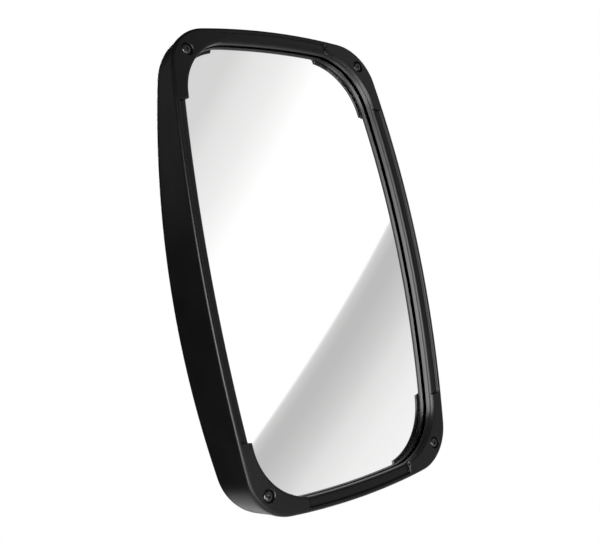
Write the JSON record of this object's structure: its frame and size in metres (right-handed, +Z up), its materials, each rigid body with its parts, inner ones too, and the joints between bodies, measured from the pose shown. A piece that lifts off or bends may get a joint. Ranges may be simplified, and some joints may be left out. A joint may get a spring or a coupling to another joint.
{
  "type": "exterior mirror head",
  "caption": "Tall rounded lorry or bus mirror head: fixed convex glass behind a screwed frame, domed housing, and a knuckle that clamps to a vertical arm tube.",
  "frame": {"origin": "on the axis of the vertical arm tube, halfway up the clamp", "axes": "+Z up along the arm tube; the glass faces -Y; +X is to the right of someone looking at the glass"},
  "size_m": [0.262, 0.1593, 0.436],
  "materials": {
    "moulded_black_plastic": "fine-grained moulded black",
    "mirror_glass": "polished, silvered",
    "heater_film": "printed film",
    "rubber": "matt",
    "black_steel": "black powder coat",
    "black_screw_steel": "black oxide",
    "zinc_steel": "bright zinc plate",
    "brass": "turned",
    "bush_plastic": "moulded acetal"
  },
  "bodies": {
    "arm_grip": {"bush_front": "bush_plastic", "bush_rear": "bush_plastic"},
    "knuckle": {"clamp_block": "black_steel", "clamp_cap": "black_steel", "friction_disc_1": "bush_plastic", "friction_disc_2": "bush_plastic", "clamp_bolt_1": "zinc_steel", "clamp_bolt_2": "zinc_steel", "clamp_bolt_3": "zinc_steel", "clamp_bolt_4": "zinc_steel", "clamp_nut_1": "zinc_steel", "clamp_nut_2": "zinc_steel", "clamp_nut_3": "zinc_steel", "clamp_nut_4": "zinc_steel"},
    "head": {"front_frame": "moulded_black_plastic", "rear_housing": "moulded_black_plastic", "glass_holder": "moulded_black_plastic", "mirror_glass": "mirror_glass", "heater_pad": "heater_film", "cable_grommet": "rubber", "backing_plate": "zinc_steel", "pivot_bracket": "black_steel", "tilt_bolt": "zinc_steel", "tilt_nut": "zinc_steel", "tilt_washer_1": "zinc_steel", "tilt_washer_2": "zinc_steel", "frame_screw_1": "black_screw_steel", "frame_insert_1": "brass", "holder_screw_1": "zinc_steel", "holder_buffer_1": "rubber", "bracket_bolt_1": "zinc_steel", "bracket_nut_1": "zinc_steel", "frame_screw_2": "black_screw_steel", "frame_insert_2": "brass", "holder_screw_2": "zinc_steel", "holder_buffer_2": "rubber", "bracket_bolt_2": "zinc_steel", "bracket_nut_2": "zinc_steel", "frame_screw_3": "black_screw_steel", "frame_insert_3": "brass", "holder_screw_3": "zinc_steel", "holder_buffer_3": "rubber", "bracket_bolt_3": "zinc_steel", "bracket_nut_3": "zinc_steel", "frame_screw_4": "black_screw_steel", "frame_insert_4": "brass", "holder_screw_4": "zinc_steel", "holder_buffer_4": "rubber", "bracket_bolt_4": "zinc_steel", "bracket_nut_4": "zinc_steel"}
  },
  "joints": [
    {"name": "head_pan", "type": "hinge", "parent": "arm_grip", "child": "knuckle", "pos_m": [0, 0, 0], "axis": [0, 0, 1], "range_deg": [-60, 60]},
    {"name": "head_tilt", "type": "hinge", "parent": "knuckle", "child": "head", "pos_m": [0, -0.03, 0], "axis": [1, 0, 0], "range_deg": [-15, 15]}
  ]
}
